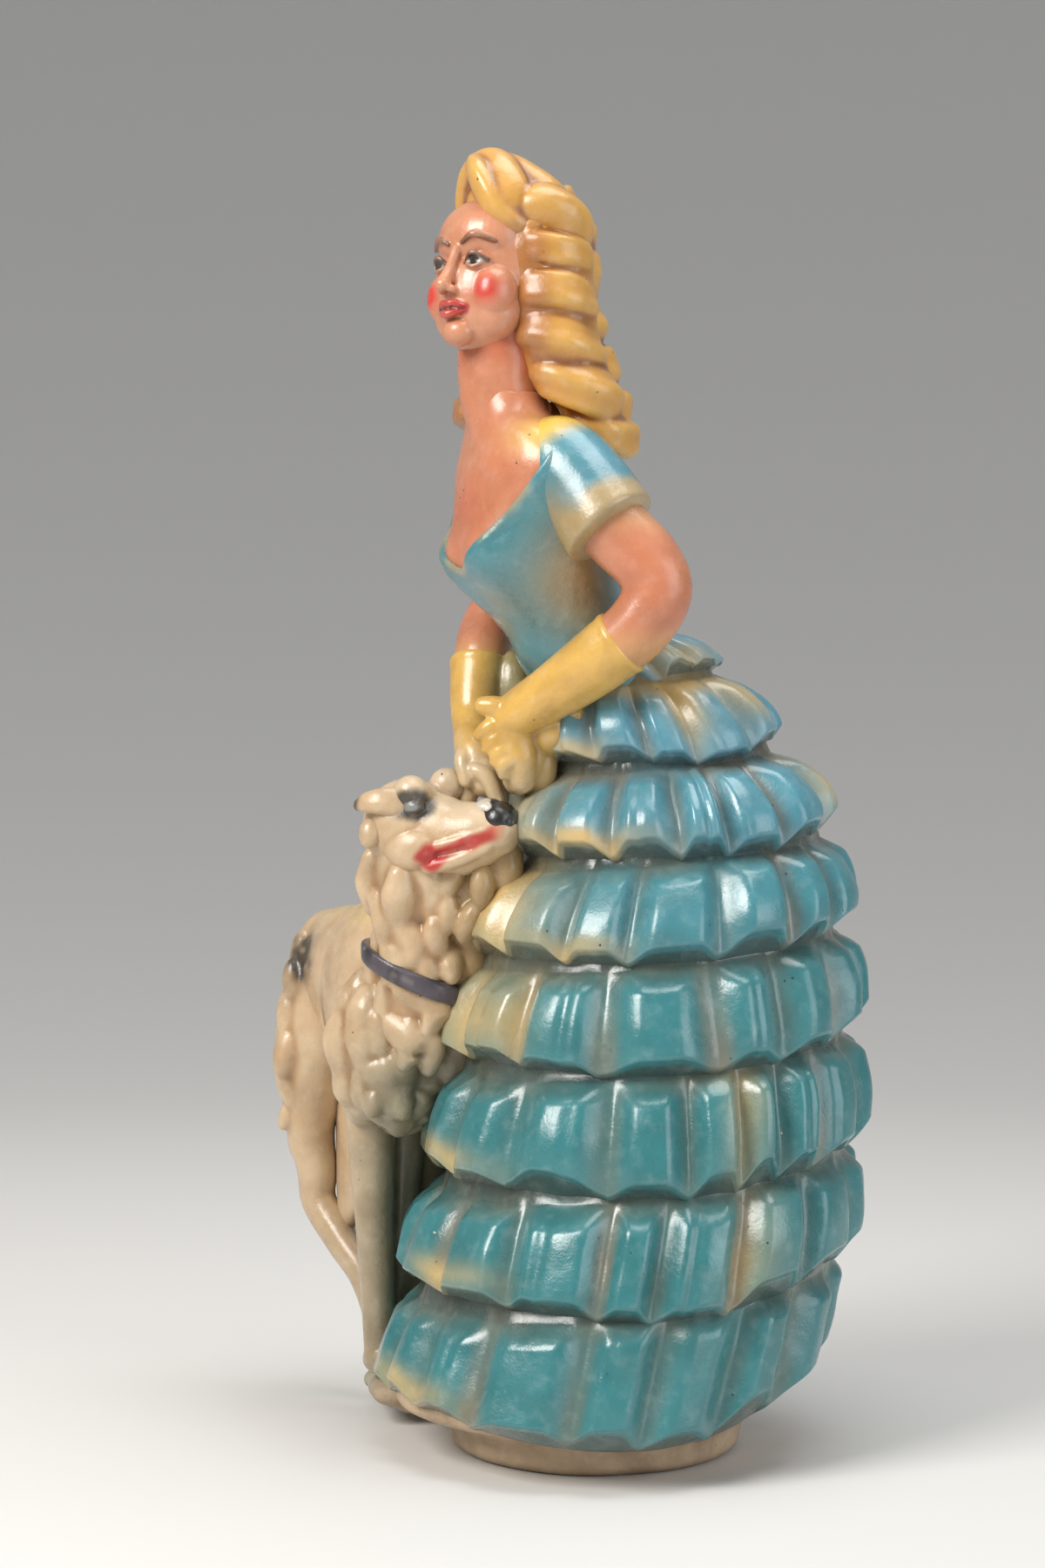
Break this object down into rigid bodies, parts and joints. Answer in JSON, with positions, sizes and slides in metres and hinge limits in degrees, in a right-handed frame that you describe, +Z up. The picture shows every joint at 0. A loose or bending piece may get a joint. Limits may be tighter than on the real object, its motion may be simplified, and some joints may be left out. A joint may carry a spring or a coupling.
{
  "type": "chalkware figure",
  "caption": "Painted plaster ornament of a lady in a tiered ruffled gown and long gloves, leaning forward to stroke a tall collared hound that stands beside her.",
  "frame": {"origin": "middle of the flat face that the foot stands on", "axes": "+Z up; the lady faces -Y, her left is +X, and the hound stands at her right with its head towards +X"},
  "size_m": [0.1696, 0.1387, 0.3493],
  "materials": {
    "bare_plaster": "bare cast plaster, rubbed and handled, matt",
    "turquoise_gown": "airbrushed turquoise paint over plaster, glossy varnish",
    "flesh": "airbrushed flesh paint over plaster, glossy varnish",
    "golden_hair": "golden yellow paint over plaster, glossy varnish",
    "golden_glove": "golden yellow paint over plaster, glossy varnish",
    "cream_hound": "cream paint with brown airbrushing, glossy varnish",
    "slate_collar": "slate paint over plaster, glossy varnish",
    "black_nose": "black paint over plaster, chipped, glossy varnish"
  },
  "bodies": {
    "root": {"foot": "bare_plaster", "skirt_tier_1": "turquoise_gown", "skirt_tier_2": "turquoise_gown", "skirt_tier_3": "turquoise_gown", "skirt_tier_4": "turquoise_gown", "skirt_tier_5": "turquoise_gown", "skirt_tier_6": "turquoise_gown", "skirt_tier_7": "turquoise_gown", "waist_ruffle": "turquoise_gown", "bodice": "turquoise_gown", "left_sleeve": "turquoise_gown", "right_sleeve": "turquoise_gown", "head": "flesh", "neck": "flesh", "shoulders": "flesh", "left_arm": "flesh", "right_arm": "flesh", "hair_cap": "golden_hair", "hair_roll": "golden_hair", "left_curls": "golden_hair", "right_curls": "golden_hair", "back_curls": "golden_hair", "left_glove": "golden_glove", "right_glove": "golden_glove", "hound_body": "cream_hound", "hound_head": "cream_hound", "hound_right_ear": "cream_hound", "hound_left_ear": "cream_hound", "hound_neck": "cream_hound", "hound_chest_fur": "cream_hound", "hound_tail": "cream_hound", "hound_right_foreleg": "cream_hound", "hound_left_foreleg": "cream_hound", "hound_right_hindleg": "cream_hound", "hound_left_hindleg": "cream_hound", "hound_collar": "slate_collar", "hound_nose": "black_nose"}
  },
  "joints": []
}
